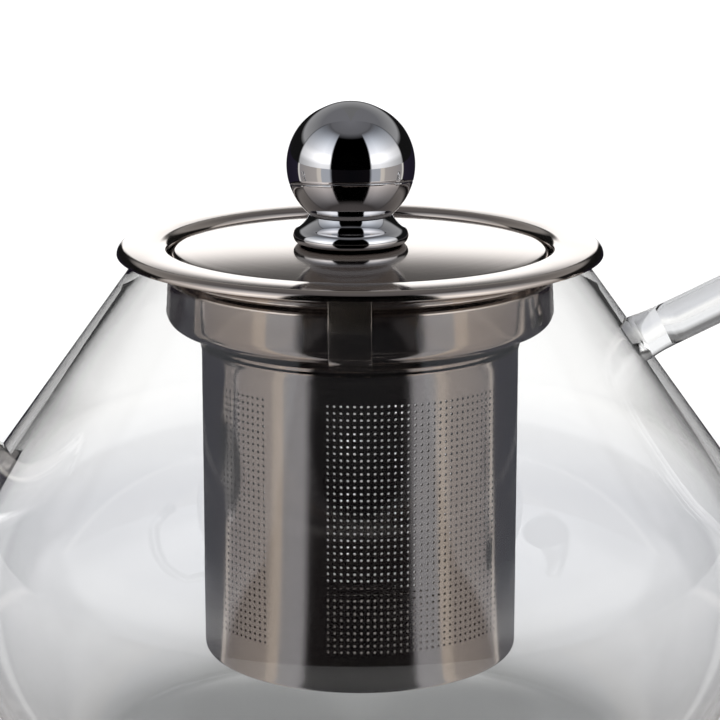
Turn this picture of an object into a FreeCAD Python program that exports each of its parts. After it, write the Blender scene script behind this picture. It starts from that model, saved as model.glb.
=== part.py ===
"""Glass teapot with a lift-out steel infuser, a ball-knobbed lid and sprung neck clips.

Millimetres and degrees.  The origin is the centre of the base on the table, +Z is up,
the handle is on +X and the spout on -X.
"""
import FreeCAD
import Part
import Sketcher
import math
import os

Vector = FreeCAD.Vector

DRIVING_SIZES = {
    # the blown pot
    "rim_height": 106.0,
    "glass_wall": 1.8,
    "belly_radius": 79.0,
    "belly_height": 40.5,
    "shoulder_arc": 40.0,
    "shoulder_turn": 35.8,
    "lower_arc": 50.0,
    "lower_turn": 46.1,
    "neck_height": 103.0,
    "mouth_radius": 42.9,
    "mouth_gap": 0.9,
    # spout
    "spout_root_radius": 18.5,
    "spout_tip_radius": 6.5,
    "spout_wall": 2.0,
    "spout_reach": 119.0,
    "spout_rise": 103.0,
    # handle
    "handle_radius": 4.25,
    "handle_bore": 3.1,
    "handle_reach": 118.0,
    # infuser collar
    "flange_radius": 47.0,
    "flange_roll": 1.1,
    "recess_roll": 1.4,
    "collar_radius": 37.5,
    "collar_sheet": 0.6,
    "bead_height": 100.5,
    "bead_half_width": 1.2,
    "bead_arc": 1.3,
    "funnel_height": 93.1,
    "spigot_radius": 30.15,
    # basket
    "basket_radius": 30.85,
    "basket_top": 86.4,
    "basket_flare": 0.3,
    "basket_floor": 24.5,
    "basket_corner": 1.2,
    "basket_sheet": 0.45,
    # sprung clips
    "clip_width": 7.8,
    "clip_sheet": 0.4,
    "clip_bulge": 39.5,
    "clip_turn": 2.7,
    # lid
    "lid_radius": 36.56,
    "lid_crown": 105.9,
    "lid_edge_rise": 104.95,
    "lid_edge_arc": 1.2,
    "lid_sheet": 0.6,
    "ring_radius": 35.8,
    "ring_foot": 102.1,
    "ring_sheet": 0.5,
    # knob
    "knob_shift": 1.76,
    "ball_radius": 12.44,
    "ball_height": 121.12,
    "ball_seam": 117.62,
    "ball_mouth": 7.9,
    "ball_sheet": 0.7,
    "foot_radius": 11.2,
    "foot_shoulder": 10.3,
    "foot_neck": 8.0,
    "foot_round": 1.5,
    "foot_base": 105.95,
    "foot_top": 111.45,
    "screw_radius": 2.0,
    "screw_head_radius": 4.0,
    "screw_head_height": 2.2,
    "screw_foot": 102.2,
    "screw_top": 116.0,
    "washer_radius": 6.0,
    "washer_thickness": 0.8,
}

CLIP_TURNS = {"clip_front": 0.0, "clip_rear_right": 120.0, "clip_rear_left": 240.0}

# Which side of its outline a sheet's thickness goes: 1 or -1.
INWARD = 1
COLLAR_INWARD = -1

doc = FreeCAD.newDocument("teapot")
sheet = doc.addObject("Spreadsheet::Sheet", "Sizes")


class Size:
    """A number together with the sheet expression that it comes from."""

    def __init__(self, number, words):
        self.number = number
        self.words = words

    @staticmethod
    def of(other):
        return other if isinstance(other, Size) else Size(float(other), repr(float(other)))

    def __add__(self, other):
        other = Size.of(other)
        return Size(self.number + other.number, f"({self.words} + {other.words})")

    def __sub__(self, other):
        other = Size.of(other)
        return Size(self.number - other.number, f"({self.words} - {other.words})")

    def __mul__(self, other):
        other = Size.of(other)
        return Size(self.number * other.number, f"({self.words} * {other.words})")

    def __truediv__(self, other):
        other = Size.of(other)
        return Size(self.number / other.number, f"({self.words} / {other.words})")

    def cos(self):
        return Size(math.cos(math.radians(self.number)), f"cos({self.words})")

    def root(self):
        return Size(math.sqrt(self.number), f"sqrt({self.words})")

    def sin(self):
        return Size(math.sin(math.radians(self.number)), f"sin({self.words})")


def fill_sheet():
    """One row for each driving size, its name beside its number."""
    for row, (name, number) in enumerate(DRIVING_SIZES.items(), 1):
        sheet.set(f"A{row}", name)
        sheet.set(f"B{row}", str(number))
        sheet.setAlias(f"B{row}", name)
    doc.recompute()


def size(name):
    return Size(float(sheet.get(name)), f"Sizes.{name}")


def bind(feature, name, length):
    feature.setExpression(name, Size.of(length).words)


# ---------------------------------------------------------------- outlines

def arc_between(start, end, radius):
    """The short arc from start to end; a positive radius turns left, a negative one right."""
    chord = end - start
    middle = (start + end) * 0.5
    left = Vector(-chord.y, chord.x, 0).normalize()
    reach = math.sqrt(radius * radius - chord.Length ** 2 / 4)
    centre = middle + left * math.copysign(reach, radius)
    first, last = (start, end) if radius > 0 else (end, start)
    circle = Part.Circle(centre, Vector(0, 0, 1), abs(radius))
    angles = [math.atan2(p.y - centre.y, p.x - centre.x) for p in (first, last)]
    return Part.ArcOfCircle(circle, angles[0], angles[1])


def pin_point(sketch, edge, corner, across, up):
    """Ties one corner of an outline to its two sizes."""
    for kind, axis, value in (("DistanceX", -2, across), ("DistanceY", -1, up)):
        value = Size.of(value)
        if abs(value.number) < 1e-9:
            sketch.addConstraint(Sketcher.Constraint("PointOnObject", edge, corner, axis))
            continue
        index = sketch.addConstraint(Sketcher.Constraint(kind, edge, corner, value.number))
        bind(sketch, f"Constraints[{index}]", value)


def draw(sketch, corners, closed=False):
    """Lines and arcs through the corners: (across, up), or (across, up, arc radius)."""
    if closed:
        corners = corners + [corners[0]]
    places = [Vector(Size.of(c[0]).number, Size.of(c[1]).number, 0) for c in corners]
    ends = []
    for step in range(1, len(corners)):
        start, end, corner = places[step - 1], places[step], corners[step]
        if len(corner) == 2:
            edge = sketch.addGeometry(Part.LineSegment(start, end))
            ends.append((edge, 1, 2))
        else:
            radius = Size.of(corner[2])
            edge = sketch.addGeometry(arc_between(start, end, radius.number))
            ends.append((edge, 1, 2) if radius.number > 0 else (edge, 2, 1))
            index = sketch.addConstraint(Sketcher.Constraint("Radius", edge, abs(radius.number)))
            bind(sketch, f"Constraints[{index}]", radius if radius.number > 0 else radius * -1)
    for here, there in zip(ends, ends[1:]):
        sketch.addConstraint(Sketcher.Constraint("Coincident", here[0], here[2], there[0], there[1]))
    if closed:
        first, last = ends[0], ends[-1]
        sketch.addConstraint(Sketcher.Constraint("Coincident", last[0], last[2], first[0], first[1]))
    for (edge, start, _), corner in zip(ends, corners):
        pin_point(sketch, edge, start, corner[0], corner[1])
    if not closed:
        pin_point(sketch, ends[-1][0], ends[-1][2], corners[-1][0], corners[-1][1])


def upright_sketch(name, corners):
    """A sketch in the XZ plane, its across along +X and its up along +Z."""
    sketch = doc.addObject("Sketcher::SketchObject", name)
    sketch.Placement = FreeCAD.Placement(Vector(), FreeCAD.Rotation(Vector(1, 0, 0), 90))
    draw(sketch, corners)
    return sketch


# ---------------------------------------------------------------- ways of making

def sheet_section(name, corners, thickness, side):
    """The cut face of a sheet that follows an outline, thickened to one side of it."""
    section = doc.addObject("Part::Offset2D", f"{name}_section")
    section.Source = upright_sketch(f"{name}_outline", corners)
    section.Mode = "Skin"
    section.Fill = True
    bind(section, "Value", Size.of(thickness) * side)
    return section


def spun_sheet(name, corners, thickness, side):
    """Sheet metal or glass turned about the pot's axis."""
    turning = doc.addObject("Part::Revolution", name)
    turning.Source = sheet_section(name, corners, thickness, side)
    turning.Axis = Vector(0, 0, 1)
    turning.Angle = 360
    turning.Solid = True
    return turning


def turned_body(name, corners):
    """A solid turned about the pot's axis from a closed outline."""
    body = doc.addObject("PartDesign::Body", name)
    sketch = body.newObject("Sketcher::SketchObject", f"{name}_outline")
    plane = [part for part in body.Origin.OriginFeatures if part.Role == "XZ_Plane"][0]
    sketch.AttachmentSupport = [(plane, "")]
    sketch.MapMode = "FlatFace"
    draw(sketch, corners, closed=True)
    turning = body.newObject("PartDesign::Revolution", f"{name}_turning")
    turning.Profile = sketch
    turning.ReferenceAxis = (sketch, ["V_Axis"])
    turning.Angle = 360
    return body


def cut(name, base, tool):
    result = doc.addObject("Part::Cut", name)
    result.Base = base
    result.Tool = tool
    return result


def ring(name, radius, centre, rise):
    """A circle in the XZ plane's column, facing up at the given rise from level."""
    circle = doc.addObject("Part::Circle", name)
    bind(circle, "Radius", radius)
    turn = FreeCAD.Rotation(Vector(0, 1, 0), 90 - rise)
    circle.Placement = FreeCAD.Placement(Vector(centre[0], 0, centre[1]), turn)
    return circle


# ---------------------------------------------------------------- the pot

def pot_outline():
    """The outer face from the middle of the base up to the mouth."""
    belly = size("belly_radius")
    level = size("belly_height")
    upper = size("shoulder_arc")
    lower = size("lower_arc")
    above = size("shoulder_turn")
    below = size("lower_turn")
    corner_radius = (level.number - lower.number * below.sin().number) / (1 - below.sin().number)
    corner = Size.of(round(corner_radius, 3))
    flat = belly - lower + (lower - corner) * below.cos()
    heel_up = level - (lower - corner) * below.sin() - corner * below.sin()
    neck_rise = size("neck_height") - level - upper * above.sin()
    slope = math.tan(math.radians(above.number))
    return [
        (0, 0),
        (flat, 0),
        (flat + corner * below.cos(), heel_up, corner),
        (belly, level, lower),
        (belly - upper + upper * above.cos(), level + upper * above.sin(), upper),
        (belly - upper + upper * above.cos() - neck_rise * slope, size("neck_height")),
        (size("mouth_radius"), size("rim_height") - size("mouth_gap")),
    ]


def filled_pot():
    """The pot as a solid lump, for trimming what is fused to its outside."""
    outline = pot_outline()
    return turned_body("pot_lump", outline + [(0, outline[-1][1])])


def spout_sections(name, inset):
    """Rings along the spout's bent middle line, from inside the belly out to the tip."""
    root = Vector(60, 44, 0)
    knee = Vector(98, 58, 0)
    tip = Vector(size("spout_reach").number, size("spout_rise").number, 0)
    thick = size("spout_root_radius")
    thin = size("spout_tip_radius")
    rings = []
    for step in range(7):
        along = step / 6
        back = 1 - along
        place = root * back ** 2 + knee * (2 * along * back) + tip * along ** 2
        heading = (knee - root) * back + (tip - knee) * along
        radius = thin + (thick - thin) * round(back ** 1.5, 4) - inset
        rise = math.degrees(math.atan2(heading.y, heading.x))
        rings.append(ring(f"{name}_ring_{step}", radius, (place.x, place.y), rise))
    return rings


def spout_loft(name, inset):
    loft = doc.addObject("Part::Loft", name)
    loft.Sections = spout_sections(name, inset)
    loft.Solid = True
    loft.Placement = FreeCAD.Placement(Vector(), FreeCAD.Rotation(Vector(0, 0, 1), 180))
    return loft


def make_spout(lump):
    outer = spout_loft("spout_outside", Size.of(0))
    bore = spout_loft("spout_bore", size("spout_wall"))
    tube = cut("spout_tube", outer, bore)
    return cut("spout", tube, lump), bore


def make_glass_body(bore):
    shell = spun_sheet("pot_shell", pot_outline(), size("glass_wall"), INWARD)
    return cut("glass_body", shell, bore)


def rounded_path(corners, bends):
    """Straight runs joined by tangent arcs, as outline corners."""
    path = [corners[0]]
    for before, here, after, bend in zip(corners, corners[1:], corners[2:], bends):
        back = Vector(before[0] - here[0], before[1] - here[1], 0).normalize()
        on = Vector(after[0] - here[0], after[1] - here[1], 0).normalize()
        half_turn = (math.pi - back.getAngle(on)) / 2
        reach = bend * math.tan(half_turn)
        start = Vector(here[0], here[1], 0) + back * reach
        end = Vector(here[0], here[1], 0) + on * reach
        path.append((start.x, start.y))
        path.append((end.x, end.y, -bend))
    path.append(corners[-1])
    return path


def handle_sweep(name, radius, spine, start):
    sweep = doc.addObject("Part::Sweep", name)
    sweep.Sections = [ring(f"{name}_ring", radius, start, HANDLE_RISE)]
    sweep.Spine = (spine, [f"Edge{n + 1}" for n in range(spine.GeometryCount)])
    sweep.Solid = True
    return sweep


HANDLE_RISE = 26.5


def make_handle(lump):
    """A drawn glass tube, bent to an ear, its ends fused to the shoulder and the belly."""
    reach = size("handle_reach").number
    start = (52.0, 85.7)
    run = 50.0
    rise = math.radians(HANDLE_RISE)
    top = (start[0] + run * math.cos(rise), start[1] + run * math.sin(rise))
    corners = [start, top, (reach, 84.0), (reach - 10, 45.0), (74.0, 30.0)]
    spine = upright_sketch("handle_line", rounded_path(corners, (18.0, 30.0, 28.0)))
    doc.recompute()
    outer = handle_sweep("handle_outside", size("handle_radius"), spine, start)
    bore = handle_sweep("handle_bore_hole", size("handle_bore"), spine, start)
    return cut("handle", cut("handle_tube", outer, bore), lump)


# ---------------------------------------------------------------- the infuser

def make_collar():
    """Flat flange with a rolled lip, a beaded straight wall, and a funnel down to the basket."""
    rim = size("rim_height")
    wall = size("collar_radius")
    under = rim - size("collar_sheet")
    roll = size("flange_roll")
    fold = size("recess_roll")
    bead = size("bead_height")
    half = size("bead_half_width")
    funnel = size("funnel_height")
    spigot = size("spigot_radius")
    lip = size("flange_radius") - size("collar_sheet")
    outline = [
        (lip, under - roll),
        (lip - roll, under, roll),
        (wall + fold, under),
        (wall, under - fold, fold),
        (wall, bead + half),
        (wall, bead - half, size("bead_arc")),
        (wall, funnel),
        (wall - 1.6, funnel - 2.77, -3.2),
        (spigot + 1.25, funnel - 4.9),
        (spigot, funnel - 5.9, 1.2),
        (spigot, funnel - 8.8),
    ]
    return spun_sheet("infuser_collar", outline, size("collar_sheet"), COLLAR_INWARD)


def make_basket_wall():
    """The rolled and seam-welded tube of the basket, flared a little at its top."""
    radius = size("basket_radius")
    top = size("basket_top")
    outline = [
        (radius, size("basket_floor") + size("basket_corner") + 0.8),
        (radius, top - 1.2),
        (radius + size("basket_flare"), top),
    ]
    return spun_sheet("basket_wall", outline, size("basket_sheet"), INWARD)


def make_basket_base():
    radius = size("basket_radius")
    floor = size("basket_floor")
    corner = size("basket_corner")
    outline = [
        (0, floor),
        (radius - corner, floor),
        (radius, floor + corner, corner),
        (radius, floor + corner + 0.8),
    ]
    return spun_sheet("basket_base", outline, size("basket_sheet"), INWARD)


def make_clip(name, turn):
    """A bent strip, fixed at its foot under the funnel and free at its top."""
    bulge = size("clip_bulge")
    rim = size("rim_height")
    outline = [
        (bulge - 7.1, rim - 18.4),
        (bulge - 3.9, rim - 16.8),
        (bulge - 1.5, rim - 14.1, 4.1),
        (bulge - 0.2, rim - 9.8),
        (bulge - 0.2, rim - 8.6, 1.0),
        (bulge - 0.9, rim - 3.6),
    ]
    strip = doc.addObject("Part::Extrusion", name)
    strip.Base = sheet_section(name, outline, size("clip_sheet"), INWARD)
    strip.DirMode = "Custom"
    strip.Dir = Vector(0, 1, 0)
    bind(strip, "LengthFwd", size("clip_width"))
    strip.Symmetric = True
    strip.Solid = True
    angle = turn - 90 - size("clip_turn").number
    strip.Placement = FreeCAD.Placement(Vector(), FreeCAD.Rotation(Vector(0, 0, 1), angle))
    return strip


# ---------------------------------------------------------------- the lid

def make_lid_dome():
    edge = size("lid_radius")
    arc = size("lid_edge_arc")
    rise = size("lid_edge_rise")
    drop = size("lid_crown") - rise
    across = edge - arc
    crown_arc = (across * across + drop * drop) / (drop * 2)
    outline = [
        (0, size("lid_crown")),
        (across, rise, crown_arc * -1),
        (edge, rise - arc, arc * -1),
        (edge, rise - arc - 0.4),
    ]
    disc = spun_sheet("lid_disc", outline, size("lid_sheet"), INWARD)
    hole = doc.addObject("Part::Cylinder", "screw_hole")
    bind(hole, "Radius", size("screw_radius") + 0.2)
    bind(hole, "Height", size("lid_crown"))
    bind(hole, "Placement.Base.x", size("knob_shift") * -1)
    bind(hole, "Placement.Base.z", size("lid_crown") - size("lid_radius"))
    return cut("lid_dome", disc, hole)


def make_lid_ring():
    """The welded ring under the dome, whose spread foot stands on the collar's bead."""
    radius = size("ring_radius")
    under = size("lid_edge_rise") - size("lid_sheet")
    foot = size("ring_foot")
    outline = [
        (radius - 3, under),
        (radius - 0.8, under),
        (radius, under - 0.8, -0.8),
        (radius, foot + 1.2),
        (radius + 0.6, foot),
    ]
    return spun_sheet("lid_ring", outline, size("ring_sheet"), COLLAR_INWARD)


def make_knob_foot():
    base = size("foot_base")
    hole = size("screw_radius") + 0.2
    under = size("foot_round")
    outline = [
        (hole, base),
        (size("foot_radius") - under, base),
        (size("foot_radius"), base + under, under),
        (size("foot_shoulder"), base + 3.05, 2.2),
        (size("foot_neck"), size("foot_top"), -5),
        (hole, size("foot_top")),
    ]
    return turned_body("knob_foot", outline)


def leg(long_side, short_side):
    """The third side of a right-angled triangle."""
    return (long_side * long_side - short_side * short_side).root()


def make_ball_shells():
    """The hollow ball: two pressed shells that meet at a seam below its middle."""
    radius = size("ball_radius")
    centre = size("ball_height")
    seam = size("ball_seam")
    mouth = size("ball_mouth")
    seam_end = (leg(radius, centre - seam), seam)
    lower = [(mouth, centre - leg(radius, mouth)), seam_end + (radius,)]
    upper = [seam_end, (0, centre + radius, radius)]
    return [
        spun_sheet("knob_lower_shell", lower, size("ball_sheet"), INWARD),
        spun_sheet("knob_upper_shell", upper, size("ball_sheet"), INWARD),
    ]


def make_knob_nut():
    """The threaded boss welded inside the lower shell of the ball."""
    inside = size("screw_radius") + 0.2
    base = size("foot_top") + 0.4
    outline = [
        (inside, base),
        (5.0, base),
        (5.0, base + 4.0),
        (inside, base + 4.0),
    ]
    return turned_body("knob_nut", outline)


def make_lid_screw():
    shank = size("screw_radius")
    head = size("screw_head_radius")
    foot = size("screw_foot")
    under = foot + size("screw_head_height")
    outline = [
        (0, foot),
        (head - 0.5, foot),
        (head, foot + 0.5),
        (head, under),
        (shank, under),
        (shank, size("screw_top")),
        (0, size("screw_top")),
    ]
    return turned_body("lid_screw", outline)


def make_lid_washer():
    base = size("screw_foot") + size("screw_head_height")
    hole = size("screw_radius") + 0.2
    outline = [
        (hole, base),
        (size("washer_radius"), base),
        (size("washer_radius"), base + size("washer_thickness")),
        (hole, base + size("washer_thickness")),
    ]
    return turned_body("lid_washer", outline)


def build_parts():
    """Every piece of the teapot, in the order in which it is put together."""
    fill_sheet()
    lump = filled_pot()
    spout, bore = make_spout(lump)
    parts = [make_glass_body(bore), spout, make_handle(lump)]
    parts += [make_collar(), make_basket_wall(), make_basket_base()]
    parts += [make_clip(name, turn) for name, turn in CLIP_TURNS.items()]
    parts += [make_lid_dome(), make_lid_ring()]
    knob = [make_knob_foot(), *make_ball_shells(), make_knob_nut(), make_lid_screw(), make_lid_washer()]
    for part in knob:
        part.Placement = FreeCAD.Placement(Vector(-size("knob_shift").number, 0, 0), FreeCAD.Rotation())
    return parts + knob


def check(parts):
    """Stops if any feature failed, or if a part isn't one valid solid."""
    for feature in doc.Objects:
        if {"Invalid", "Error"} & set(feature.State):
            raise RuntimeError(f"{feature.Name} failed: {feature.State}")
    for part in parts:
        shape = part.Shape
        if shape.isNull() or not shape.isValid() or len(shape.Solids) != 1 or shape.Volume <= 0:
            raise RuntimeError(f"{part.Label} isn't one valid solid: {len(shape.Solids)} solids")
        box = shape.optimalBoundingBox(False)
        print(f"{part.Label:18s} {shape.Volume:10.1f} mm3   across {box.XMin:8.2f} {box.XMax:8.2f}"
              f"   deep {box.YMin:8.2f} {box.YMax:8.2f}   up {box.ZMin:8.2f} {box.ZMax:8.2f}")


def main():
    parts = build_parts()
    doc.recompute()
    check(parts)
    os.makedirs("parts", exist_ok=True)
    for part in parts:
        part.Shape.exportStep(f"parts/{part.Label}.step")


main()
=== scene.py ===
"""A clear glass teapot with a lift-out steel infuser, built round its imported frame.

Outlines are in millimetres from the middle of the pot's base, as (distance from the axis,
height), and become metres when their mesh is made.
"""
import math

import bmesh
import bpy
from mathutils import Matrix, Vector


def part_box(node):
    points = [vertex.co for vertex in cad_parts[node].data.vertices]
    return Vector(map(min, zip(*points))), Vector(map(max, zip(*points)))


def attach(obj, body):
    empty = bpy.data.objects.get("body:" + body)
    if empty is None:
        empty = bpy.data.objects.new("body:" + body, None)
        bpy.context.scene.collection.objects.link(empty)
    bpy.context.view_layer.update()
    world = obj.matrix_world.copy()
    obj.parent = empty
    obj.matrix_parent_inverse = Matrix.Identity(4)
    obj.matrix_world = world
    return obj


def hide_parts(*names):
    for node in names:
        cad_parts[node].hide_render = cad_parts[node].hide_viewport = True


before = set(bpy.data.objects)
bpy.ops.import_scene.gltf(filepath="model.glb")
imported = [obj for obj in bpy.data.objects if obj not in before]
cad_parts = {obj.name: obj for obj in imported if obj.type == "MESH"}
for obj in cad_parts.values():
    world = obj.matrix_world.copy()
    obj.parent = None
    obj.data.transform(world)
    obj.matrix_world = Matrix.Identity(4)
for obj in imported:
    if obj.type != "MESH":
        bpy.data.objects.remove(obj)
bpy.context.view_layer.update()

MM = 0.001
ROUND = 192          # steps of a full turn on the larger pieces
SHARP = math.radians(32)


# ------------------------------------------------------------------ sizes from the frame

def corners_mm(name):
    low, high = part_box(name)
    return Vector(low) / MM, Vector(high) / MM


pot_high = corners_mm("glass_body")[1]
collar_high = corners_mm("infuser_collar")[1]
wall_low = corners_mm("basket_wall")[0]
base_low, base_high = corners_mm("basket_base")
dome_low, dome_high = corners_mm("lid_dome")
ball_low, ball_high = corners_mm("knob_upper_shell")
foot_low, foot_high = corners_mm("knob_foot")

RIM = collar_high.z
FLANGE = collar_high.x
BELLY = pot_high.y
BASKET = base_high.x
FLOOR = base_low.z
LID = dome_high.x
CROWN = dome_high.z
BALL = (ball_high.y - ball_low.y) / 2
BALL_TOP = ball_high.z
KNOB_X = (foot_high.x + foot_low.x) / 2


# ------------------------------------------------------------------ outlines

def arc(middle, radius, start, end, steps=8):
    """Points along an arc, its angles in degrees from the outward direction."""
    points = []
    for step in range(steps + 1):
        angle = math.radians(start + (end - start) * step / steps)
        points.append((middle[0] + radius * math.cos(angle), middle[1] + radius * math.sin(angle)))
    return points


def sagged(start, end, bulge, steps=6):
    """Points of a shallow curve between two places; bulge is to the left of the way."""
    start = Vector(start)
    end = Vector(end)
    way = end - start
    side = Vector((-way.y, way.x)).normalized()
    points = []
    for step in range(steps + 1):
        along = step / steps
        point = start + way * along + side * bulge * 4 * along * (1 - along)
        points.append((point.x, point.y))
    return points


def thickened(path, thickness):
    """A closed outline: the path, and its copy set off to the right of the way along it."""
    copy = []
    for index, point in enumerate(path):
        before = Vector(path[max(index - 1, 0)])
        after = Vector(path[min(index + 1, len(path) - 1)])
        here = Vector(point)
        ways = [way.normalized() for way in (here - before, after - here) if way.length > 1e-6]
        right = sum((Vector((way.y, -way.x)) for way in ways), Vector((0, 0))).normalized()
        stretch = 1 / max(right.dot(Vector((ways[0].y, -ways[0].x))), 0.5)
        spot = here + right * thickness * stretch
        copy.append((spot.x, spot.y))
    return path + copy[::-1]


# ------------------------------------------------------------------ making and finishing pieces

def turned(outline, steps=ROUND, closed=True, centre=0.0):
    """A mesh turned about the pot's axis, or about a line beside it, from an outline."""
    mesh = bmesh.new()
    verts = [mesh.verts.new(((across + centre) * MM, 0, up * MM)) for across, up in outline]
    pairs = list(zip(verts, verts[1:]))
    if closed:
        pairs.append((verts[-1], verts[0]))
    edges = [mesh.edges.new(pair) for pair in pairs]
    bmesh.ops.spin(mesh, geom=verts + edges, cent=(centre * MM, 0, 0), axis=(0, 0, 1),
                   angle=math.tau, steps=steps, use_merge=True)
    bmesh.ops.remove_doubles(mesh, verts=mesh.verts, dist=1e-6)
    bmesh.ops.recalc_face_normals(mesh, faces=mesh.faces)
    return mesh


def place(name, mesh, material, body, nodes, sharp=SHARP):
    """Makes the finished object, smooth but for its sharp edges, and ties it to the frame."""
    data = bpy.data.meshes.new(name)
    mesh.to_mesh(data)
    mesh.free()
    data.shade_smooth()
    data.set_sharp_from_angle(angle=sharp)
    piece = bpy.data.objects.new(name, data)
    bpy.context.collection.objects.link(piece)
    piece.data.materials.append(material)
    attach(piece, body)
    if nodes:
        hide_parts(*nodes)
    return piece


def ring_at(mesh, middle, heading, radius, segments):
    """One round of edges, square to the heading, which lies in the XZ plane."""
    across = Matrix.Rotation(heading.angle(Vector((0, 0, 1))) if heading.x >= 0
                             else -heading.angle(Vector((0, 0, 1))), 4, "Y")
    matrix = Matrix.Translation(middle * MM) @ across
    made = bmesh.ops.create_circle(mesh, segments=segments, radius=radius * MM, matrix=matrix)
    return list({edge for vert in made["verts"] for edge in vert.link_edges})


def bridged(mesh, rings):
    """Joins each round of edges to the next."""
    for near, far in zip(rings, rings[1:]):
        bmesh.ops.bridge_loops(mesh, edges=near + far)


# ------------------------------------------------------------------ materials

def colour(code):
    """An sRGB hex colour as the linear colour that the shaders take."""
    parts = [int(code[start:start + 2], 16) / 255 for start in (1, 3, 5)]
    linear = [part / 12.92 if part <= 0.04045 else ((part + 0.055) / 1.055) ** 2.4 for part in parts]
    return (*linear, 1.0)


def add(tree, kind, settings=None, inputs=None, links=None):
    """Adds a node, sets its properties and inputs, and links other nodes' outputs into it."""
    made = tree.nodes.new(kind)
    for name, value in (settings or {}).items():
        setattr(made, name, value)
    for name, value in (inputs or {}).items():
        made.inputs[name].default_value = value
    for name, source in (links or {}).items():
        tree.links.new(source, made.inputs[name])
    return made


def new_material(name):
    material = bpy.data.materials.new(name)
    material.use_nodes = True
    tree = material.node_tree
    tree.nodes.clear()
    return material, tree


def blown_borosilicate():
    """Clear borosilicate glass, blown in a mould: IOR 1.47, next to no tint, and a faint slow
    waviness that bends what is seen through it."""
    material, tree = new_material("blown_borosilicate_glass")
    place_of = add(tree, "ShaderNodeTexCoord").outputs["Object"]
    ripple = add(tree, "ShaderNodeTexNoise", inputs={"Scale": 28.0, "Detail": 1.0, "Roughness": 0.4},
                 links={"Vector": place_of})
    bump = add(tree, "ShaderNodeBump", inputs={"Strength": 0.05, "Distance": 0.0015},
               links={"Height": ripple.outputs["Fac"]})
    glass = add(tree, "ShaderNodeBsdfPrincipled",
                inputs={"Base Color": colour("#FBFBFB"), "Roughness": 0.0, "IOR": 1.47,
                        "Transmission Weight": 1.0},
                links={"Normal": bump.outputs["Normal"]})
    path = add(tree, "ShaderNodeLightPath")
    clear = add(tree, "ShaderNodeBsdfTransparent", inputs={"Color": colour("#FAFBFA")})
    both = add(tree, "ShaderNodeMixShader", links={0: path.outputs["Is Shadow Ray"],
                                                  1: glass.outputs[0], 2: clear.outputs[0]})
    add(tree, "ShaderNodeOutputMaterial", links={"Surface": both.outputs[0]})
    return material


GLOW_STARTS = 22.0       # how far behind the axis the basket's inner glow starts
GLOW_FULL = 29.5


def steel(name, tint, roughness, wear, marks, stretch, depth, spun=True, inner_glow=0.0):
    """Stainless steel, 18 % chromium and 8 % nickel.  Fine marks run round the axis where it
    was spun, or along the sheet where it was rolled; the roughness varies a little over it.
    The inner glow is the light that gets in through the holes and is thrown about inside more
    often than it is traced."""
    material, tree = new_material(name)
    place_of = add(tree, "ShaderNodeTexCoord").outputs["Object"]
    if spun:
        split = add(tree, "ShaderNodeSeparateXYZ", links={0: place_of})
        square_x = add(tree, "ShaderNodeMath", {"operation": "MULTIPLY"},
                       links={0: split.outputs["X"], 1: split.outputs["X"]})
        reach = add(tree, "ShaderNodeMath", {"operation": "MULTIPLY_ADD"},
                    links={0: split.outputs["Y"], 1: split.outputs["Y"], 2: square_x.outputs[0]})
        root = add(tree, "ShaderNodeMath", {"operation": "SQRT"}, links={0: reach.outputs[0]})
        pattern = add(tree, "ShaderNodeCombineXYZ", links={"X": root.outputs[0],
                                                          "Z": split.outputs["Z"]}).outputs[0]
    else:
        pattern = place_of
    stretched = add(tree, "ShaderNodeMapping", inputs={"Scale": stretch}, links={"Vector": pattern})
    fine = add(tree, "ShaderNodeTexNoise", inputs={"Scale": marks, "Detail": 3.0},
               links={"Vector": stretched.outputs[0]})
    broad = add(tree, "ShaderNodeTexNoise", inputs={"Scale": 60.0, "Detail": 4.0},
                links={"Vector": place_of})
    rough = add(tree, "ShaderNodeMapRange",
                inputs={"From Min": 0.3, "From Max": 0.7, "To Min": roughness,
                        "To Max": roughness + wear},
                links={"Value": broad.outputs["Fac"]})
    bump = add(tree, "ShaderNodeBump", inputs={"Strength": 0.3, "Distance": depth},
               links={"Height": fine.outputs["Fac"]})
    metal = add(tree, "ShaderNodeBsdfPrincipled",
                inputs={"Base Color": colour(tint), "Metallic": 1.0},
                links={"Roughness": rough.outputs[0], "Normal": bump.outputs["Normal"]})
    if inner_glow:
        level = add(tree, "ShaderNodeVectorMath", {"operation": "MULTIPLY"},
                    inputs={1: (1, 1, 0)}, links={0: place_of})
        out = add(tree, "ShaderNodeVectorMath", {"operation": "LENGTH"},
                  links={0: level.outputs["Vector"]})
        inside = add(tree, "ShaderNodeMath", {"operation": "LESS_THAN"},
                     inputs={1: (BASKET - 0.35) * MM}, links={0: out.outputs["Value"]})
        split = add(tree, "ShaderNodeSeparateXYZ", links={0: place_of})
        rear = add(tree, "ShaderNodeMapRange",
                   inputs={"From Min": GLOW_STARTS * MM, "From Max": GLOW_FULL * MM,
                           "To Max": inner_glow},
                   links={"Value": split.outputs["Y"]})
        glow = add(tree, "ShaderNodeMath", {"operation": "MULTIPLY"},
                   links={0: inside.outputs[0], 1: rear.outputs[0]})
        tree.links.new(glow.outputs[0], metal.inputs["Emission Strength"])
        metal.inputs["Emission Color"].default_value = (1, 1, 1, 1)
        material.cycles.emission_sampling = "NONE"
    add(tree, "ShaderNodeOutputMaterial", links={"Surface": metal.outputs[0]})
    return material


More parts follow.
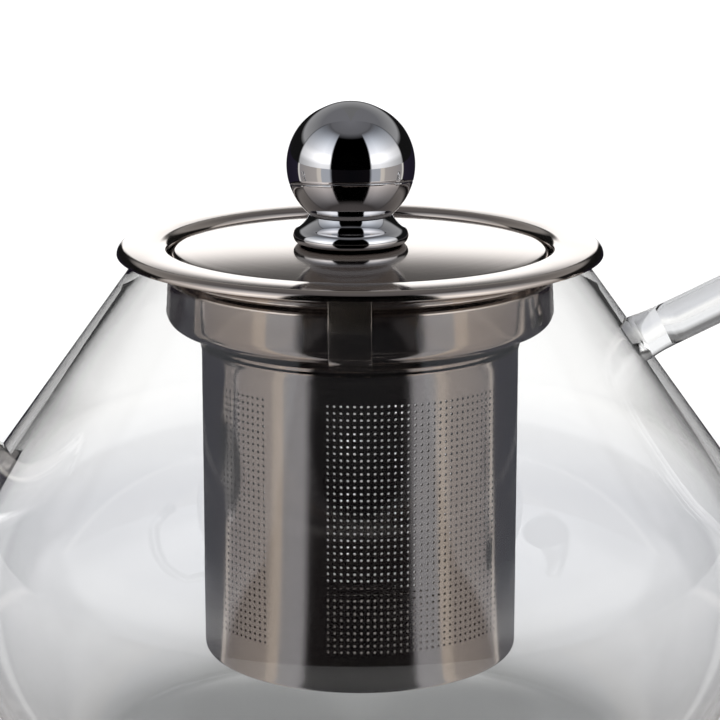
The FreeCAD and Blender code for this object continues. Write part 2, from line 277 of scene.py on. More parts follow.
glass = blown_borosilicate()
spun_steel = steel("spun_polished_stainless", "#B8AEA7", 0.07, 0.05, 900.0, (1, 1, 1), 0.00001)
lid_steel = steel("satin_polished_stainless", "#B8AEA7", 0.075, 0.02, 900.0, (1, 1, 1), 0.00001)
mirror_steel = steel("buffed_mirror_stainless", "#D3D3D6", 0.015, 0.02, 300.0, (1, 1, 1), 0.000002)
rolled_steel = steel("cold_rolled_stainless", "#B9B2AE", 0.10, 0.06, 260.0, (1, 1, 0.04), 0.00002,
                     spun=False)
punched_steel = steel("cold_rolled_punched_stainless", "#B9B2AE", 0.10, 0.06, 260.0, (1, 1, 0.04),
                      0.00002, spun=False, inner_glow=0.36)
strip_steel = steel("bright_spring_strip", "#C2B8AF", 0.12, 0.06, 500.0, (1, 1, 0.05), 0.00001,
                    spun=False)
turned_steel = steel("turned_stainless", "#BDBDBF", 0.22, 0.08, 1500.0, (1, 1, 1), 0.00002)


# ------------------------------------------------------------------ the glass

GLASS_WALL = 1.8
NECK = RIM - 3.0
SHOULDER_TURN = 35.8
LOWER_TURN = 46.1
SHOULDER_ARC = 40.0
LOWER_ARC = 50.0
BELLY_HEIGHT = 40.5
BASE_HOLLOW = 0.9        # how far the middle of the base is off the table
BASE_TOP = 3.5


def pot_side(inset):
    """The pot's face from the edge of its flat base up to its neck, moved in by an inset."""
    heel_arc = (BELLY_HEIGHT - LOWER_ARC * math.sin(math.radians(LOWER_TURN))) / (
        1 - math.sin(math.radians(LOWER_TURN)))
    heel = BELLY - LOWER_ARC + (LOWER_ARC - heel_arc) * math.cos(math.radians(LOWER_TURN))
    side = arc((heel, heel_arc), heel_arc - inset, -90, -LOWER_TURN, 12)
    side += arc((BELLY - LOWER_ARC, BELLY_HEIGHT), LOWER_ARC - inset, -LOWER_TURN, 0, 20)[1:]
    side += arc((BELLY - SHOULDER_ARC, BELLY_HEIGHT), SHOULDER_ARC - inset, 0, SHOULDER_TURN, 14)[1:]
    top = side[-1]
    slope = math.tan(math.radians(SHOULDER_TURN))
    for step in range(1, 9):
        up = top[1] + (NECK - top[1]) * step / 8
        side.append((top[0] - (up - top[1]) * slope, up))
    return side


def make_pot():
    """The blown body: flat base a little hollowed in the middle, fire-rounded thick mouth."""
    outside = pot_side(0.0)
    inside = pot_side(GLASS_WALL)
    mouth = (outside[-1][0] + inside[-1][0]) / 2 - 0.4
    half = (outside[-1][0] - inside[-1][0]) / 2 - 0.1
    lip = arc((mouth, NECK + 1.0), half, 0, 180, 14)
    under = sagged((0.5, BASE_HOLLOW), outside[0], 0.35, 10)
    over = sagged(inside[0], (0.5, BASE_TOP), -0.3, 10)
    outline = [(0.0, BASE_HOLLOW)] + under + outside[1:] + lip
    outline += inside[::-1] + over[1:] + [(0.0, BASE_TOP)]
    mesh = turned(outline, closed=False)
    return place("pot_glass", mesh, glass, "pot", ["glass_body"], sharp=math.radians(60))


def bent_line(corners, bends, spacing):
    """Places along straight runs joined by tangent arcs, in the XZ plane."""
    places = []
    run_start = corners[0]
    for before, here, after, bend in zip(corners, corners[1:], corners[2:], bends):
        back = (before - here).normalized()
        onward = (after - here).normalized()
        half_turn = (math.pi - back.angle(onward)) / 2
        reach = bend * math.tan(half_turn)
        start = here + back * reach
        centre = here + (back + onward).normalized() * bend / math.cos(half_turn)
        steps = max(2, round((start - run_start).length / spacing))
        places += [run_start.lerp(start, step / steps) for step in range(steps)]
        count = max(4, round(bend * half_turn * 2 / spacing))
        spoke = start - centre
        for step in range(count):
            turn = Matrix.Rotation(half_turn * 2 * step / count, 3, "Y")
            places.append(centre + turn @ spoke)
        run_start = here + onward * reach
    steps = max(2, round((corners[-1] - run_start).length / spacing))
    places += [run_start.lerp(corners[-1], step / steps) for step in range(steps + 1)]
    return places


HANDLE_TUBE = 4.24
HANDLE_BORE = 3.1
HANDLE_RISE = math.radians(26.5)
HANDLE_RUN = 50.0        # the straight stretch from the shoulder to the first bend
HANDLE_REACH = 118.0
HANDLE_BENDS = (18.0, 30.0, 28.0)
SOLID_END = 5.0          # how far the fused ends are solid


def make_handle():
    """Drawn tube, bent to an ear.  Its bore stops short of the fused ends, which are solid."""
    top = Vector((52.0 + HANDLE_RUN * math.cos(HANDLE_RISE), 0,
                  85.7 + HANDLE_RUN * math.sin(HANDLE_RISE)))
    corners = [Vector((53.6, 0, 86.5)), top, Vector((HANDLE_REACH, 0, 84.0)),
               Vector((HANDLE_REACH - 10, 0, 45.0)), Vector((76.6, 0, 31.2))]
    line = bent_line(corners, HANDLE_BENDS, 1.6)
    headings = [(line[min(n + 1, len(line) - 1)] - line[max(n - 1, 0)]).normalized()
                for n in range(len(line))]
    lengths = [0.0]
    for near, far in zip(line, line[1:]):
        lengths.append(lengths[-1] + (far - near).length)
    total = lengths[-1]
    mesh = bmesh.new()
    outer = []
    bore = []
    for spot, heading, length in zip(line, headings, lengths):
        end = min(length, total - length)
        flare = 0.5 * math.exp(-(end / 3.0) ** 2)
        outer.append(ring_at(mesh, spot, heading, HANDLE_TUBE + flare, 40))
        if end > SOLID_END:
            close = min(1.0, (end - SOLID_END) / 3.0)
            narrowed = HANDLE_BORE * math.sqrt(max(close * (2 - close), 0.02))
            bore.append(ring_at(mesh, spot, heading, narrowed, 32))
    bridged(mesh, outer)
    bridged(mesh, bore)
    for ring in (outer[0], outer[-1], bore[0], bore[-1]):
        bmesh.ops.contextual_create(mesh, geom=ring)
    bmesh.ops.recalc_face_normals(mesh, faces=mesh.faces)
    return place("handle_glass", mesh, glass, "pot", ["handle"])


SPOUT_ROOT = Vector((-60.0, 0, 44.0))
SPOUT_KNEE = Vector((-98.0, 0, 58.0))
SPOUT_TIP = Vector((-119.0, 0, 103.0))
SPOUT_TIP_RADIUS = 6.5
SPOUT_SPREAD = 12.0      # how much wider its root is than its tip
SPOUT_WALL = 2.0


def spout_station(along, inset):
    """Middle, heading and radius of the spout at a share of its length."""
    back = 1 - along
    middle = SPOUT_ROOT * back ** 2 + SPOUT_KNEE * (2 * along * back) + SPOUT_TIP * along ** 2
    heading = ((SPOUT_KNEE - SPOUT_ROOT) * back + (SPOUT_TIP - SPOUT_KNEE) * along).normalized()
    radius = SPOUT_TIP_RADIUS + SPOUT_SPREAD * back ** 1.5 - inset
    return middle, heading, radius


def make_spout():
    """A drawn and bent tube, wide at its root, cut square and fire-polished at its tip."""
    steps = 48
    start = 0.2
    mesh = bmesh.new()
    outer = []
    bore = []
    for step in range(steps + 1):
        along = start + (0.992 - start) * step / steps
        for rings, inset in ((outer, 0.0), (bore, SPOUT_WALL)):
            rings.append(ring_at(mesh, *spout_station(along, inset), 64))
    bridged(mesh, outer)
    bridged(mesh, bore)
    bmesh.ops.bridge_loops(mesh, edges=outer[0] + bore[0])
    lip = ring_at(mesh, *spout_station(1.0, SPOUT_WALL / 2), 64)
    bmesh.ops.bridge_loops(mesh, edges=outer[-1] + lip)
    bmesh.ops.bridge_loops(mesh, edges=lip + bore[-1])
    bmesh.ops.recalc_face_normals(mesh, faces=mesh.faces)
    return place("spout_glass", mesh, glass, "pot", ["spout"], sharp=math.radians(50))


def bore_through_pot(pot):
    """Opens the pot's wall into the spout, with the spout's own bore as the cutter."""
    mesh = bmesh.new()
    rings = [ring_at(mesh, *spout_station(0.40 * step / 12, SPOUT_WALL), 64) for step in range(13)]
    bridged(mesh, rings)
    for ring in (rings[0], rings[-1]):
        bmesh.ops.contextual_create(mesh, geom=ring)
    bmesh.ops.recalc_face_normals(mesh, faces=mesh.faces)
    data = bpy.data.meshes.new("bore")
    mesh.to_mesh(data)
    mesh.free()
    cutter = bpy.data.objects.new("bore", data)
    bpy.context.collection.objects.link(cutter)
    cut = pot.modifiers.new("bore", "BOOLEAN")
    cut.operation = "DIFFERENCE"
    cut.solver = "EXACT"
    cut.object = cutter
    graph = bpy.context.evaluated_depsgraph_get()
    opened = bpy.data.meshes.new_from_object(pot.evaluated_get(graph))
    pot.modifiers.remove(cut)
    pot.data = opened
    pot.data.shade_smooth()
    pot.data.set_sharp_from_angle(angle=math.radians(60))
    bpy.data.objects.remove(cutter)


# ------------------------------------------------------------------ the steel infuser

SHEET = 0.6
WEAVE = 1.288        # hole spacing
HOLE = 0.285         # hole radius


def bowed(stretches):
    """A smooth path from places, each with the bulge of the stretch that leads to it."""
    path = [stretches[0][:2]]
    for across, up, bulge in stretches[1:]:
        if bulge:
            path += sagged(path[-1], (across, up), bulge, 8)[1:]
        else:
            path.append((across, up))
    return path


def make_collar():
    """Flange, upright wall with a rolled-in bead, and the funnel that carries the basket."""
    wall = FLANGE - 9.5
    roll = 1.1
    fold = 1.4
    under = RIM - SHEET
    spigot = BASKET - 0.7
    funnel_top = RIM - 12.9
    rim = arc((FLANGE - SHEET - roll, under - roll), roll, 0, 90, 8)
    rim += arc((wall + fold, under - fold), fold, 90, 180, 10)
    bead_top = RIM - 3.5
    bead_drop = 3.6
    bead_depth = 0.95
    bead = [(wall, bead_top)]
    for step in range(1, 17):
        along = step / 16
        bead.append((wall - bead_depth * math.sin(math.pi * along) ** 2, bead_top - bead_drop * along))
    funnel = bowed([(wall, bead_top - bead_drop, 0), (wall, funnel_top, 0),
                    (wall - 1.6, funnel_top - 2.77, 0.43), (spigot + 1.25, funnel_top - 4.9, 0),
                    (spigot, funnel_top - 5.9, -0.31), (spigot, funnel_top - 8.8, 0)])
    outline = thickened(rim + bead + funnel[1:], SHEET)
    return place("infuser_collar_spun", turned(outline, 256), spun_steel, "infuser",
                 ["infuser_collar"], sharp=math.radians(50))


def punched_cell(mesh):
    """One square of sheet with a round hole in it, flat in the XZ plane."""
    hole = bmesh.ops.create_circle(mesh, segments=8, radius=HOLE * MM)["verts"]
    edge = bmesh.ops.create_circle(mesh, segments=8, radius=WEAVE / 2 * MM)["verts"]
    for vert in edge:
        if min(abs(vert.co.x), abs(vert.co.y)) > 0.1 * MM:
            vert.co *= math.sqrt(2)
    bmesh.ops.rotate(mesh, verts=mesh.verts, cent=(0, 0, 0),
                     matrix=Matrix.Rotation(math.pi / 2, 3, "X"))
    bmesh.ops.bridge_loops(mesh, edges=mesh.edges[:])


def repeated(mesh, step, count):
    """Copies everything in the mesh along a step, a number of times."""
    bmesh.ops.spin(mesh, geom=mesh.verts[:] + mesh.edges[:] + mesh.faces[:], dvec=step, angle=0,
                   steps=count - 1, use_duplicate=True, axis=(0, 0, 1), cent=(0, 0, 0))
    bmesh.ops.remove_doubles(mesh, verts=mesh.verts, dist=0.01 * MM)


def stretched_edge(mesh, pick, moves):
    """Draws the open edge that pick finds on out to blank sheet, one move after another."""
    edges = [edge for edge in mesh.edges if edge.is_boundary and all(pick(v.co) for v in edge.verts)]
    for move in moves:
        made = bmesh.ops.extrude_edge_only(mesh, edges=edges)["geom"]
        verts = [item for item in made if isinstance(item, bmesh.types.BMVert)]
        edges = [item for item in made if isinstance(item, bmesh.types.BMEdge)]
        bmesh.ops.translate(mesh, verts=verts, vec=move)


ROWS = 38
HOLES_TOP = RIM - 25.35
HOLES_BOTTOM = HOLES_TOP - (ROWS - 1) * WEAVE
COLUMN_TURN = 337.9 / 143
SEAM_START = -34.6
SEAM_END = -12.5
BASKET_SHEET = 0.45
MOUTH = 85.2             # where the wall starts to spread
WELDS = 9
LOWEST_WELD = 31.5
WELD_SPACING = 6.2
WELD_DEPTH = 0.12
WELD_SPREAD = 0.55


def make_basket_half(name, start_turn, columns, seam):
    """Half of the rolled, punched wall.  Turns are from the front; one half ends in the seam:
    a blank strip with spot welds, its free edge lapped over the other half's."""
    mesh = bmesh.new()
    punched_cell(mesh)
    repeated(mesh, (WEAVE * MM, 0, 0), columns)
    repeated(mesh, (0, 0, WEAVE * MM), ROWS)
    left = -WEAVE / 2 * MM
    right = (columns - 0.5) * WEAVE * MM
    if seam:
        strip = math.radians(SEAM_END - SEAM_START + 0.8) / math.radians(COLUMN_TURN) * WEAVE * MM
        stretched_edge(mesh, lambda co: co.x > right - 0.01 * MM, [(strip / 20, 0, 0)] * 20)
    low = -WEAVE / 2 * MM
    high = (ROWS - 0.5) * WEAVE * MM
    top_gap = (MOUTH - HOLES_TOP) * MM - WEAVE / 2 * MM
    stretched_edge(mesh, lambda co: co.z > high - 0.01 * MM,
                   [(0, 0, top_gap / 3)] * 3 + [(0, 0, 0.6 * MM)] * 2)
    low_gap = (HOLES_BOTTOM - wall_low.z) * MM - WEAVE / 2 * MM
    stretched_edge(mesh, lambda co: co.z < low + 0.01 * MM, [(0, 0, -low_gap / 3)] * 3)
    bmesh.ops.recalc_face_normals(mesh, faces=mesh.faces)
    start = math.radians(start_turn)
    turn_per = math.radians(COLUMN_TURN) / (WEAVE * MM)
    for vert in mesh.verts:
        across = vert.co.x - left
        up = vert.co.z + HOLES_BOTTOM * MM
        turn = start + across * turn_per
        radius = BASKET * MM
        if up > (MOUTH + 0.1) * MM:
            radius += (up / MM - MOUTH) * 0.24 * MM
        if seam and vert.co.x > right:
            past = (vert.co.x - right) / MM
            middle = strip / MM / 2
            for weld in range(WELDS):
                height = LOWEST_WELD + weld * WELD_SPACING
                away = math.hypot(past - middle, up / MM - height)
                radius -= WELD_DEPTH * MM * math.exp(-(away / WELD_SPREAD) ** 2)
        vert.co = (radius * math.sin(turn), -radius * math.cos(turn), up)
    bmesh.ops.recalc_face_normals(mesh, faces=mesh.faces)
    outward = sum(face.normal.dot(Vector((face.calc_center_median().x, face.calc_center_median().y, 0)))
                  for face in mesh.faces)
    if outward < 0:
        bmesh.ops.reverse_faces(mesh, faces=mesh.faces)
    bmesh.ops.solidify(mesh, geom=mesh.faces[:], thickness=BASKET_SHEET * MM)
    return place(name, mesh, punched_steel, "infuser", ["basket_wall"],
                 sharp=math.radians(40))


def make_basket_base():
    """The punched floor: holes in its flat, a drawn corner, and a short skirt into the wall."""
    mesh = bmesh.new()
    punched_cell(mesh)
    count = 41
    repeated(mesh, (WEAVE * MM, 0, 0), count)
    repeated(mesh, (0, 0, WEAVE * MM), count)
    centre = (count - 1) / 2 * WEAVE * MM
    bmesh.ops.translate(mesh, verts=mesh.verts, vec=(-centre, 0, -centre))
    bmesh.ops.rotate(mesh, verts=mesh.verts, cent=(0, 0, 0), matrix=Matrix.Rotation(-math.pi / 2, 3, "X"))
    reach = 25.6 * MM
    cells = {}
    for face in mesh.faces:
        spot = face.calc_center_median()
        key = (round(spot.x / (WEAVE * MM)), round(spot.y / (WEAVE * MM)))
        cells.setdefault(key, []).append(face)
    spare = []
    for (across, along), faces in cells.items():
        if (math.hypot(abs(across) + 0.5, abs(along) + 0.5) * WEAVE * MM) > reach:
            spare += faces
    bmesh.ops.delete(mesh, geom=spare, context="FACES")
    stairs = []
    for edge in mesh.edges:
        if edge.is_boundary:
            spot = (edge.verts[0].co + edge.verts[1].co) / 2
            away = max(abs((spot.x / (WEAVE * MM)) - round(spot.x / (WEAVE * MM))),
                       abs((spot.y / (WEAVE * MM)) - round(spot.y / (WEAVE * MM))))
            if away > 0.45:
                stairs.append(edge)
    bend = 1.2
    flat = base_high.x - bend
    circle = bmesh.ops.create_circle(mesh, segments=96, radius=flat * MM)["verts"]
    ring = list({edge for vert in circle for edge in vert.link_edges})
    bmesh.ops.triangle_fill(mesh, edges=stairs + ring, use_beauty=True)
    corner = arc((flat, bend), bend, -90, 0, 6) + [(flat + bend, wall_low.z - FLOOR)]
    edges = ring
    for before, after in zip(corner, corner[1:]):
        made = bmesh.ops.extrude_edge_only(mesh, edges=edges)["geom"]
        verts = [item for item in made if isinstance(item, bmesh.types.BMVert)]
        edges = [item for item in made if isinstance(item, bmesh.types.BMEdge)]
        grow = after[0] / before[0]
        bmesh.ops.scale(mesh, verts=verts, vec=(grow, grow, 1))
        bmesh.ops.translate(mesh, verts=verts, vec=(0, 0, (after[1] - before[1]) * MM))
    bmesh.ops.translate(mesh, verts=mesh.verts, vec=(0, 0, FLOOR * MM))
    bmesh.ops.recalc_face_normals(mesh, faces=mesh.faces)
    if sum(face.normal.z * face.calc_area() for face in mesh.faces) > 0:
        bmesh.ops.reverse_faces(mesh, faces=mesh.faces)
    bmesh.ops.solidify(mesh, geom=mesh.faces[:], thickness=BASKET_SHEET * MM)
    return place("basket_base_punched", mesh, rolled_steel, "infuser", ["basket_base"],
                 sharp=math.radians(40))


def make_clip(name, node, turn):
    """A bent strip: foot on the funnel, an S up the collar, its end just under the flange."""
    line = bowed([(32.4, RIM - 18.4, 0), (35.6, RIM - 16.8, 0), (38.0, RIM - 14.1, -0.38),
                  (39.3, RIM - 9.8, 0), (39.3, RIM - 8.6, -0.2), (38.6, RIM - 3.6, 0)])
    outline = thickened(line, -0.4)
    mesh = bmesh.new()
    verts = [mesh.verts.new((across * MM, -3.9 * MM, up * MM)) for across, up in outline]
    face = mesh.faces.new(verts)
    side = bmesh.ops.extrude_face_region(mesh, geom=[face])["geom"]
    moved = [item for item in side if isinstance(item, bmesh.types.BMVert)]
    bmesh.ops.translate(mesh, verts=moved, vec=(0, 7.8 * MM, 0))
    bmesh.ops.recalc_face_normals(mesh, faces=mesh.faces)
    rims = [edge for edge in mesh.edges if abs(edge.verts[0].co.y - edge.verts[1].co.y) < 1e-7]
    bmesh.ops.bevel(mesh, geom=rims, offset=0.07 * MM, segments=2, profile=0.5, affect="EDGES",
                    material=-1)
    bmesh.ops.rotate(mesh, verts=mesh.verts, cent=(0, 0, 0),
                     matrix=Matrix.Rotation(math.radians(turn), 3, "Z"))
    return place(name, mesh, strip_steel, node, [node])


# ------------------------------------------------------------------ the lid and its knob

def make_lid():
    """A shallow spun dome with a turned-down edge, and the ring welded inside it that seats
    in the collar."""
    flat = LID - 1.2
    crown = [(flat * step / 24, CROWN - 0.95 * (step / 24) ** 2) for step in range(2, 25)]
    edge = arc((flat, CROWN - 2.15), 1.2, 90, 0, 8)[1:] + [(LID, dome_low.z)]
    dome = thickened(crown + edge, SHEET)
    place("lid_dome_spun", turned(dome, 256), lid_steel, "lid", ["lid_dome"],
          sharp=math.radians(50))
    low, high = corners_mm("lid_ring")
    seat = bowed([(32.8, high.z, 0), (high.x - 1.4, high.z, 0), (high.x - 0.6, high.z - 0.8, -0.2),
                  (high.x - 0.6, high.z - 1.05, 0), (high.x, low.z + 0.22, 0)])
    place("lid_ring_spun", turned(thickened(seat, 0.5), 192), spun_steel, "lid", ["lid_ring"])


def make_knob():
    """A turned foot, and a ball pressed in two halves that meet at a slightly tilted seam."""
    base = foot_low.z
    foot = bowed([(2.3, base, 0), (9.7, base, 0), (11.2, base + 1.5, -0.44), (10.3, base + 3.05, -0.19),
                  (8.0, foot_high.z, 0.30), (2.3, foot_high.z, 0)])
    place("knob_foot_turned", turned(foot, 128, centre=KNOB_X), mirror_steel, "lid", ["knob_foot"],
          sharp=math.radians(40))
    middle = BALL_TOP - BALL
    shell = 0.7
    mouth = math.degrees(math.asin(7.9 / BALL))
    outside = arc((0, middle), BALL, -90 + mouth, 90, 48)
    inside = arc((0, middle), BALL - shell, -90 + mouth, 90, 48)
    outline = outside[:-1] + [(0.0, BALL_TOP), (0.0, BALL_TOP - shell)] + inside[:-1][::-1]
    seam = Vector((KNOB_X, 0, middle - 3.5)) * MM
    tilt = Vector((math.sin(math.radians(-1.6)), math.sin(math.radians(7.7)), 1)).normalized()
    for name, node, keep_top in (("knob_shell_upper", "knob_upper_shell", True),
                                 ("knob_shell_lower", "knob_lower_shell", False)):
        mesh = turned(outline, 128, centre=KNOB_X)
        cut = bmesh.ops.bisect_plane(mesh, geom=mesh.verts[:] + mesh.edges[:] + mesh.faces[:],
                                     dist=1e-7, plane_co=seam, plane_no=tilt,
                                     clear_inner=keep_top, clear_outer=not keep_top)
        lip = [item for item in cut["geom_cut"] if isinstance(item, bmesh.types.BMEdge)]
        bmesh.ops.bridge_loops(mesh, edges=lip)
        bmesh.ops.recalc_face_normals(mesh, faces=mesh.faces)
        reach = (BALL - 0.25) * MM
        centre = Vector((KNOB_X, 0, middle)) * MM
        rounded = [edge for edge in lip if edge.is_valid
                   and all((vert.co - centre).length > reach for vert in edge.verts)]
        bmesh.ops.bevel(mesh, geom=rounded, offset=0.16 * MM, segments=3, profile=0.5,
                        affect="EDGES", material=-1)
        place(name, mesh, mirror_steel, "lid", [node], sharp=math.radians(45))


def make_screw():
    """The screw up through the lid: a low round head with a hexagon socket."""
    low, high = corners_mm("lid_screw")
    outline = [(2.2, low.z), (3.5, low.z)] + arc((3.5, low.z + 0.5), 0.5, -90, 0, 4)[1:]
    outline += [(4.0, low.z + 2.2), (2.0, low.z + 2.2), (2.0, high.z - 0.3), (1.7, high.z), (0.0, high.z)]
    mesh = turned(outline, 48, closed=False, centre=KNOB_X)
    rim = [edge for edge in mesh.edges if edge.is_boundary]
    across = Matrix.Translation(Vector((KNOB_X, 0, low.z)) * MM)
    socket = bmesh.ops.create_circle(mesh, segments=6, radius=1.45 * MM, matrix=across)["verts"]
    edges = list({edge for vert in socket for edge in vert.link_edges})
    bmesh.ops.bridge_loops(mesh, edges=rim + edges)
    made = bmesh.ops.extrude_edge_only(mesh, edges=edges)["geom"]
    deep = [item for item in made if isinstance(item, bmesh.types.BMVert)]
    bmesh.ops.translate(mesh, verts=deep, vec=(0, 0, 1.4 * MM))
    bmesh.ops.contextual_create(mesh, geom=[item for item in made if isinstance(item, bmesh.types.BMEdge)])
    bmesh.ops.recalc_face_normals(mesh, faces=mesh.faces)
    place("lid_screw_turned", mesh, turned_steel, "lid", ["lid_screw"])


pot = make_pot()
bore_through_pot(pot)
make_handle()
make_spout()
make_collar()
make_basket_half("basket_sheet_front", SEAM_END, 72, False)
make_basket_half("basket_sheet_back", SEAM_END + 72 * COLUMN_TURN, 71, True)
make_basket_base()
make_clip("clip_front_strip", "clip_front", -92.7)
make_clip("clip_rear_right_strip", "clip_rear_right", 27.3)
make_clip("clip_rear_left_strip", "clip_rear_left", 147.3)
make_lid()
make_knob()
make_screw()
for name in ("knob_nut", "lid_washer"):
    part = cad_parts[name]
    part.data.materials.clear()
    part.data.materials.append(turned_steel)


# ------------------------------------------------------------------ floor, light and camera

def sheet_on_stage(name, corners, material):
    """A flat backdrop or card."""
    mesh = bmesh.new()
    mesh.faces.new([mesh.verts.new(corner) for corner in corners])
    data = bpy.data.meshes.new(name)
    mesh.to_mesh(data)
    mesh.free()
    made = bpy.data.objects.new(name, data)
    bpy.context.collection.objects.link(made)
    made.data.materials.append(material)
    return made


def stops(ramp, *places_and_colours):
    """Fills a colour ramp with its places, in shares of the whole, and linear colours."""
    elements = ramp.color_ramp.elements
    while len(elements) > 1:
        elements.remove(elements[-1])
    elements[0].position, elements[0].color = places_and_colours[0][0], (*places_and_colours[0][1], 1)
    for share, tint in places_and_colours[1:]:
        elements.new(share).color = (*tint, 1)
    return ramp.outputs["Color"]


def grey(level):
    return (level, level, level)


def turn_from_front(tree, vector):
    """The turn about the upright axis, 0 in front of the spout's side and 1 straight behind."""
    split = add(tree, "ShaderNodeSeparateXYZ", links={0: vector})
    sideways = add(tree, "ShaderNodeMath", {"operation": "ABSOLUTE"}, links={0: split.outputs["X"]})
    forward = add(tree, "ShaderNodeMath", {"operation": "MULTIPLY"}, inputs={1: -1.0},
                  links={0: split.outputs["Y"]})
    turn = add(tree, "ShaderNodeMath", {"operation": "ARCTAN2"},
               links={0: sideways.outputs[0], 1: forward.outputs[0]})
    share = add(tree, "ShaderNodeMath", {"operation": "DIVIDE"}, inputs={1: math.pi},
                links={0: turn.outputs[0]})
    return share.outputs[0], split.outputs["Z"]


EVEN_AFTER = 3           # mirrorings after which steel sees an even grey
EVEN_FLOOR = 0.3
EVEN_STUDIO = 0.15


def seen_in_steel(tree, bounces):
    """1 for what steel mirrors, past a number of bounces.  Light that turns back once inside
    the pot's own wall stays with what is seen straight on."""
    path = add(tree, "ShaderNodeLightPath")
    mirrored = add(tree, "ShaderNodeMath", {"operation": "GREATER_THAN"}, inputs={1: bounces - 0.5},
                   links={0: path.outputs["Glossy Depth"]})
    through = add(tree, "ShaderNodeMath", {"operation": "GREATER_THAN"}, inputs={1: 1.5},
                  links={0: path.outputs["Transmission Depth"]})
    soon = add(tree, "ShaderNodeMath", {"operation": "LESS_THAN"}, inputs={1: 3.5},
               links={0: path.outputs["Ray Depth"]})
    in_wall = add(tree, "ShaderNodeMath", {"operation": "MULTIPLY"},
                  links={0: through.outputs[0], 1: soon.outputs[0]})
    kept = add(tree, "ShaderNodeMath", {"operation": "SUBTRACT", "use_clamp": True},
               links={0: mirrored.outputs[0], 1: in_wall.outputs[0]})
    return kept.outputs[0]


def pale_floor():
    """Matt white laminate, with painted shade: greyer close round the pot, as if in its shadow.
    In polished steel it shows as it does in a studio tent: black where the open front and the
    side flags are, pale beside the two soft lights.  After a few mirrorings it is an even grey."""
    material, tree = new_material("matt_white_floor_painted_shade")
    place_of = add(tree, "ShaderNodeTexCoord").outputs["Object"]
    far = add(tree, "ShaderNodeVectorMath", {"operation": "LENGTH"}, links={0: place_of})
    # Painted shade: the paint is greyer within a short way of the pot, standing in for its shadow, and
    # pale further out.
    shade = stops(add(tree, "ShaderNodeValToRGB", links={"Fac": far.outputs["Value"]}),
                  (0.06, (0.66, 0.665, 0.68)), (0.20, (0.64, 0.65, 0.68)),
                  (0.34, (0.94, 0.94, 0.935)))
    paint = add(tree, "ShaderNodeBsdfPrincipled",
                inputs={"Roughness": 0.75, "Specular IOR Level": 0.1}, links={"Base Color": shade})
    turn, height = turn_from_front(tree, place_of)
    tent = add(tree, "ShaderNodeValToRGB", links={"Fac": turn})
    shown = stops(tent, (0.0, (0.004, 0.004, 0.005)), (0.185, (0.006, 0.005, 0.006)),
                  (0.212, (0.50, 0.52, 0.56)), (0.295, (0.50, 0.52, 0.55)), (0.305, (0.80, 0.73, 0.65)),
                  (0.338, (0.76, 0.70, 0.62)), (0.355, (0.50, 0.46, 0.43)), (0.47, (0.42, 0.39, 0.37)),
                  (0.565, (0.34, 0.32, 0.32)), (0.578, (0.90, 0.86, 0.80)), (0.588, (0.9, 0.86, 0.80)),
                  (0.60, (0.022, 0.018, 0.032)), (0.92, (0.012, 0.010, 0.018)), (0.95, (1.0, 1.0, 1.0)))
    dim = add(tree, "ShaderNodeMix", {"data_type": "RGBA"}, inputs={7: (*grey(EVEN_FLOOR), 1)},
              links={0: seen_in_steel(tree, EVEN_AFTER), 6: shown})
    mirrored = add(tree, "ShaderNodeEmission", inputs={"Strength": 1.0}, links={"Color": dim.outputs[2]})
    both = add(tree, "ShaderNodeMixShader", links={0: seen_in_steel(tree, 1), 1: paint.outputs[0],
                                                  2: mirrored.outputs[0]})
    add(tree, "ShaderNodeOutputMaterial", links={"Surface": both.outputs[0]})
    material.cycles.emission_sampling = "NONE"
    return material


sheet_on_stage("floor", [(-9, -9, 0), (9, -9, 0), (9, 9, 0), (-9, 9, 0)], pale_floor())


def panel(name, place_at, size, radiance, tint, aim):
    """A soft light: a rectangle that shines one way and isn't itself mirrored."""
    light = bpy.data.lights.new(name, "AREA")
    light.shape = "RECTANGLE"
    light.size, light.size_y = size
    light.energy = radiance * size[0] * size[1] * 4
    light.color = colour(tint)[:3]
    made = bpy.data.objects.new(name, light)
    made.location = place_at
    made.rotation_euler = (Vector(aim) - Vector(place_at)).to_track_quat("-Z", "Y").to_euler()
    made.visible_glossy = False
    made.visible_transmission = False
    bpy.context.collection.objects.link(made)


for side in (-1, 1):
    panel("softbox_" + ("left" if side < 0 else "right"), (side * 1.1, -0.35, 0.7), (0.9, 0.9), 1.35,
          "#FFFDF8", (0, 0, 0.1))


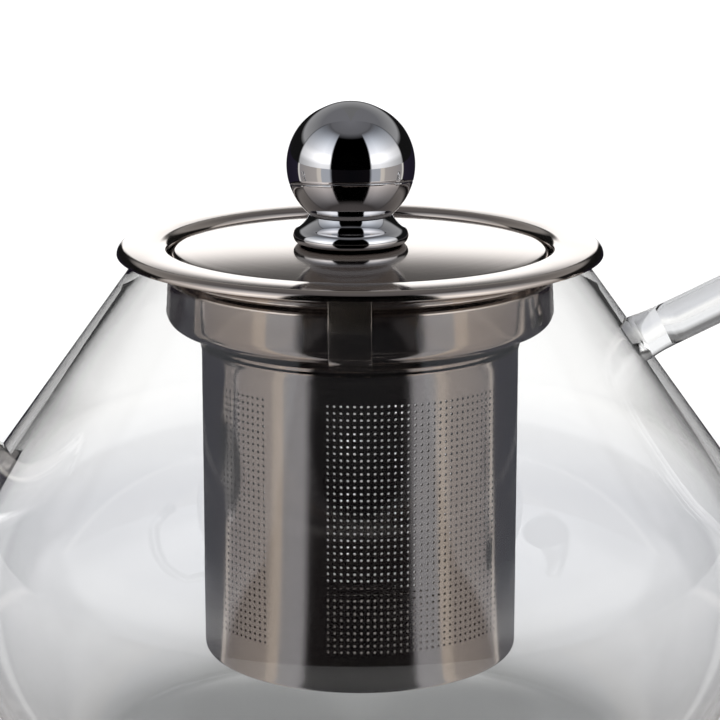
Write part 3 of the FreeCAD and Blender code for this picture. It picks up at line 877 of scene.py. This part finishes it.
def make_world():
    """The studio.  Straight on it is pale towards the horizon and darker above.  Mirrored in
    steel it is a tent: two tall soft lights at the sides, brightest low down and near the
    front, a low white screen behind, a dim ceiling, and black in front and beside the screen."""
    world = bpy.data.worlds.new("studio")
    bpy.context.scene.world = world
    world.use_nodes = True
    tree = world.node_tree
    tree.nodes.clear()
    turn, height = turn_from_front(tree, add(tree, "ShaderNodeTexCoord").outputs["Generated"])
    rise = add(tree, "ShaderNodeMath", {"operation": "ARCSINE"}, links={0: height})
    lift = add(tree, "ShaderNodeMath", {"operation": "DIVIDE"}, inputs={1: math.pi / 2},
               links={0: rise.outputs[0]})
    lift = lift.outputs[0]
    across = stops(add(tree, "ShaderNodeValToRGB", links={"Fac": turn}),
                   (0.0, grey(0)), (0.195, grey(0)), (0.212, grey(0.95)), (0.30, grey(1.0)),
                   (0.36, grey(0.87)), (0.42, grey(0.72)), (0.47, grey(0.60)), (0.53, grey(0.50)),
                   (0.575, grey(0.43)), (0.597, grey(0)))
    upright = stops(add(tree, "ShaderNodeValToRGB", links={"Fac": lift}),
                    (0.0, grey(0.60)), (0.06, grey(0.64)), (0.12, grey(1.0)), (0.20, grey(1.0)),
                    (0.28, (0.70, 0.71, 0.73)), (0.39, (0.53, 0.55, 0.58)), (0.50, (0.36, 0.38, 0.41)),
                    (0.61, (0.19, 0.20, 0.22)), (0.69, grey(0)))
    soft = add(tree, "ShaderNodeMix", {"data_type": "RGBA", "blend_type": "MULTIPLY"},
               inputs={0: 1.0}, links={6: across, 7: upright})
    ceiling = stops(add(tree, "ShaderNodeValToRGB", links={"Fac": lift}),
                    (0.60, grey(0)), (0.72, (0.08, 0.08, 0.085)), (1.0, (0.105, 0.105, 0.112)))
    rear_ceiling = stops(add(tree, "ShaderNodeValToRGB", links={"Fac": lift}),
                         (0.205, grey(0.005)), (0.27, grey(0.20)), (0.39, grey(0.16)),
                         (0.56, (0.10, 0.10, 0.105)), (1.0, (0.105, 0.105, 0.112)))
    behind = add(tree, "ShaderNodeMapRange", inputs={"From Min": 0.585, "From Max": 0.605},
                 links={"Value": turn})
    over = add(tree, "ShaderNodeMix", {"data_type": "RGBA"},
               links={0: behind.outputs[0], 6: ceiling, 7: rear_ceiling})
    screen_width = add(tree, "ShaderNodeMapRange", {"interpolation_type": "SMOOTHSTEP"},
                       inputs={"From Min": 0.925, "From Max": 0.945}, links={"Value": turn})
    screen = stops(add(tree, "ShaderNodeValToRGB", links={"Fac": lift}),
                   (0.0, grey(0.92)), (0.134, grey(0.88)), (0.143, grey(0.66)), (0.151, grey(0.42)),
                   (0.160, grey(0.24)), (0.170, grey(0.12)), (0.182, grey(0.06)), (0.21, grey(0.05)),
                   (0.27, grey(0.20)), (0.39, grey(0.16)), (0.56, grey(0.10)))
    tent = add(tree, "ShaderNodeMix", {"data_type": "RGBA"},
               links={0: screen_width.outputs[0], 6: over.outputs[2], 7: screen})
    all_round = add(tree, "ShaderNodeMix", {"data_type": "RGBA", "blend_type": "ADD"},
                    inputs={0: 1.0}, links={6: soft.outputs[2], 7: tent.outputs[2]})
    dim = add(tree, "ShaderNodeMix", {"data_type": "RGBA"}, inputs={7: (*grey(EVEN_STUDIO), 1)},
              links={0: seen_in_steel(tree, EVEN_AFTER), 6: all_round.outputs[2]})
    mirrored = add(tree, "ShaderNodeBackground", inputs={"Strength": 2.0},
                   links={"Color": dim.outputs[2]})
    shade = add(tree, "ShaderNodeMapRange", inputs={"From Min": 0.3, "From Max": 0.65,
                                                    "To Min": 1.05, "To Max": 0.2},
                links={"Value": height})
    seen = add(tree, "ShaderNodeBackground", inputs={"Color": colour("#FCFDFE")},
               links={"Strength": shade.outputs[0]})
    lighting = add(tree, "ShaderNodeBackground", inputs={"Color": colour("#FFFFFF"), "Strength": 1.12})
    path = add(tree, "ShaderNodeLightPath")
    on_matt = add(tree, "ShaderNodeMath", {"operation": "GREATER_THAN"}, inputs={1: 0.5},
                  links={0: path.outputs["Diffuse Depth"]})
    shown = add(tree, "ShaderNodeMixShader", links={0: seen_in_steel(tree, 1), 1: seen.outputs[0],
                                                   2: mirrored.outputs[0]})
    both = add(tree, "ShaderNodeMixShader", links={0: on_matt.outputs[0], 1: shown.outputs[0],
                                                  2: lighting.outputs[0]})
    add(tree, "ShaderNodeOutputWorld", links={"Surface": both.outputs[0]})


make_world()

lens = bpy.data.cameras.new("camera")
lens.lens = 135
lens.sensor_width = 36
lens.clip_start = 0.01
camera = bpy.data.objects.new("camera", lens)
camera.location = (0, -0.5133, (RIM + 100.3) * MM)
camera.rotation_euler = (math.radians(76.436), 0, 0)
bpy.context.collection.objects.link(camera)
bpy.context.scene.camera = camera
bpy.context.scene.view_settings.view_transform = "Standard"
